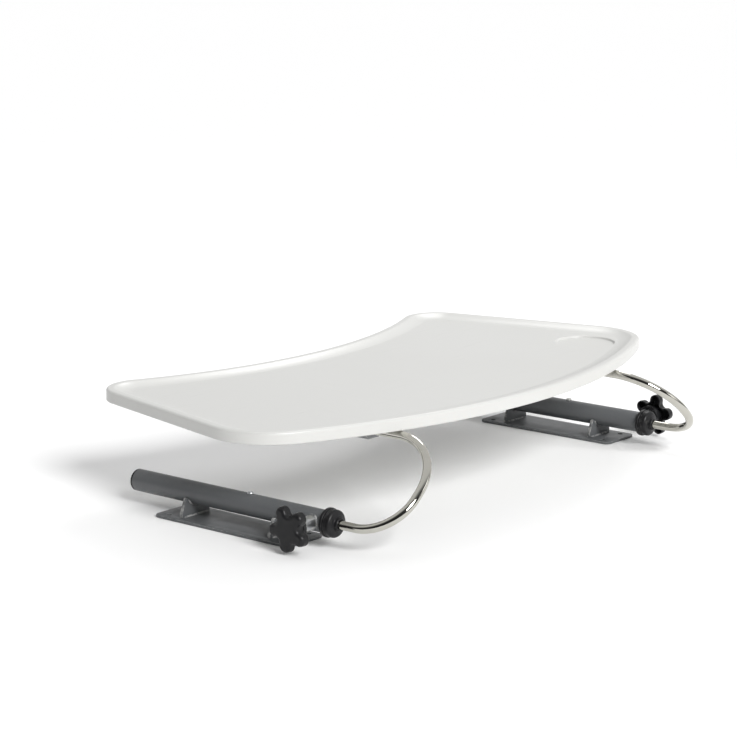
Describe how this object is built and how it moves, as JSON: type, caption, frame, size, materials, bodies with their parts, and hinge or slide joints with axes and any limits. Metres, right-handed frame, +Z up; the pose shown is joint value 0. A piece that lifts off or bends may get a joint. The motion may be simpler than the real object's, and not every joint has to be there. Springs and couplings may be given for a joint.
{
  "type": "overbed table",
  "caption": "Crescent tray with a raised rim and a cup recess, on bent rods that plug into armrest sockets and are clamped by star knobs.",
  "frame": {"origin": "bottom centre of the box round the whole object: under the mounting plates, on the middle plane", "axes": "+X to the seated person's left, across the tray's width; -Y forwards, away from the seated person; +Z up"},
  "size_m": [0.7286, 0.4359, 0.128],
  "materials": {
    "white_plastic": "satin moulded, very fine grain",
    "chrome": "polished",
    "black_plastic": "satin moulded",
    "grey_nylon": "satin moulded",
    "coated_steel": "powder coated, fine texture",
    "zinc_steel": "zinc plated",
    "brass": "turned",
    "black_vinyl": "dipped vinyl"
  },
  "bodies": {
    "arm_sockets": {"socket_tube_right": "coated_steel", "front_bush_right": "black_plastic", "rear_bush_right": "black_plastic", "rear_bush_screw_right": "zinc_steel", "tube_plug_right": "black_plastic", "mounting_plate_right": "coated_steel", "tube_cradle_right_front": "coated_steel", "tube_cradle_right_rear": "coated_steel", "clamp_boss_right": "zinc_steel", "knob_collar_right": "black_plastic", "socket_tube_left": "coated_steel", "front_bush_left": "black_plastic", "rear_bush_left": "black_plastic", "rear_bush_screw_left": "zinc_steel", "tube_plug_left": "black_plastic", "mounting_plate_left": "coated_steel", "tube_cradle_left_front": "coated_steel", "tube_cradle_left_rear": "coated_steel", "clamp_boss_left": "zinc_steel", "knob_collar_left": "black_plastic"},
    "tray": {"tray_top": "white_plastic", "rod_right": "chrome", "rod_end_cap_right": "black_vinyl", "rod_saddle_right_front": "grey_nylon", "rod_saddle_right_rear": "grey_nylon", "saddle_screw_right_front_a": "zinc_steel", "saddle_screw_right_front_b": "zinc_steel", "saddle_screw_right_rear_a": "zinc_steel", "saddle_screw_right_rear_b": "zinc_steel", "rod_left": "chrome", "rod_end_cap_left": "black_vinyl", "rod_saddle_left_front": "grey_nylon", "rod_saddle_left_rear": "grey_nylon", "saddle_screw_left_front_a": "zinc_steel", "saddle_screw_left_front_b": "zinc_steel", "saddle_screw_left_rear_a": "zinc_steel", "saddle_screw_left_rear_b": "zinc_steel"},
    "clamp_pad_right": {"pressure_pad_right": "brass"},
    "knob_right": {"knob_grip_right": "black_plastic", "knob_stud_right": "zinc_steel"},
    "clamp_pad_left": {"pressure_pad_left": "brass"},
    "knob_left": {"knob_grip_left": "black_plastic", "knob_stud_left": "zinc_steel"}
  },
  "joints": [
    {"name": "tray_slide", "type": "slide", "parent": "arm_sockets", "child": "tray", "axis": [0, -1, 0], "range_m": [-0.016, 0.1]},
    {"name": "clamp_feed_right", "type": "slide", "parent": "arm_sockets", "child": "clamp_pad_right", "axis": [-1, 0, 0], "range_m": [0, 0.0025]},
    {"name": "knob_turn_right", "type": "hinge", "parent": "clamp_pad_right", "child": "knob_right", "pos_m": [-0.346, -0.1125, 0.028], "axis": [-1, 0, 0], "range_deg": [0, 720]},
    {"name": "clamp_feed_left", "type": "slide", "parent": "arm_sockets", "child": "clamp_pad_left", "axis": [1, 0, 0], "range_m": [0, 0.0025]},
    {"name": "knob_turn_left", "type": "hinge", "parent": "clamp_pad_left", "child": "knob_left", "pos_m": [0.346, -0.1125, 0.028], "axis": [1, 0, 0], "range_deg": [0, 720]}
  ],
  "couplings": [
    {"joint": "knob_turn_right", "follows": "clamp_feed_right", "rad_per_m": 5026.5},
    {"joint": "knob_turn_left", "follows": "clamp_feed_left", "rad_per_m": 5026.5}
  ]
}
